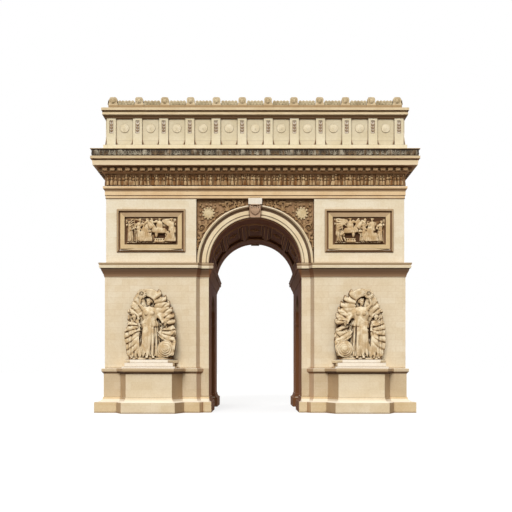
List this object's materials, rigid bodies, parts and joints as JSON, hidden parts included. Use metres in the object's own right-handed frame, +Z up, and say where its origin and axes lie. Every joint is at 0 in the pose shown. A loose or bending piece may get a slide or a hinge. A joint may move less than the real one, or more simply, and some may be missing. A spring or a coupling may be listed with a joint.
{
  "type": "triumphal arch scale model at 1:2",
  "caption": "Four-pier triumphal arch with a coffered main vault, a lower cross passage, sculpture groups, framed reliefs, deep cornice, attic and crest",
  "frame": {"origin": "on the ground, at the centre of the arch's plan", "axes": "+X along the wide fronts, +Y through the main passage from front to back, +Z up"},
  "size_m": [24.19, 14.6, 23.56],
  "materials": {
    "ashlar": "dressed limestone, sawn and rubbed",
    "carved_stone": "carved limestone, darkened in the hollows",
    "relief_stone": "carved limestone with a brown patina",
    "vault_stone": "limestone with a dark patina",
    "shaded_stone": "weathered limestone under the cornice",
    "crest_stone": "weathered carved limestone"
  },
  "bodies": {
    "root": {"architrave": "ashlar", "attic_cornice": "ashlar", "attic_pilasters": "ashlar", "attic_shields": "ashlar", "back_attic_wall": "ashlar", "back_crest": "crest_stone", "back_left_base": "ashlar", "back_left_group": "carved_stone", "back_left_pedestal": "ashlar", "back_left_pier": "ashlar", "back_left_relief": "relief_stone", "back_right_base": "ashlar", "back_right_group": "carved_stone", "back_right_pedestal": "ashlar", "back_right_pier": "ashlar", "back_right_relief": "relief_stone", "cornice": "ashlar", "dentils": "shaded_stone", "end_reliefs": "relief_stone", "frieze": "relief_stone", "front_attic_wall": "ashlar", "front_crest": "crest_stone", "front_left_base": "ashlar", "front_left_group": "carved_stone", "front_left_pedestal": "ashlar", "front_left_pier": "ashlar", "front_left_relief": "relief_stone", "front_right_base": "ashlar", "front_right_group": "carved_stone", "front_right_pedestal": "ashlar", "front_right_pier": "ashlar", "front_right_relief": "relief_stone", "keystones": "ashlar", "left_attic_wall": "ashlar", "left_crest": "crest_stone", "left_impost": "ashlar", "left_side_arch": "vault_stone", "left_upper_wall": "ashlar", "main_archivolts": "ashlar", "main_vault": "vault_stone", "right_attic_wall": "ashlar", "right_crest": "crest_stone", "right_impost": "ashlar", "right_side_arch": "vault_stone", "right_upper_wall": "ashlar", "side_archivolts": "ashlar", "side_imposts": "shaded_stone", "spandrel_wall": "relief_stone", "terrace": "ashlar"}
  },
  "joints": []
}
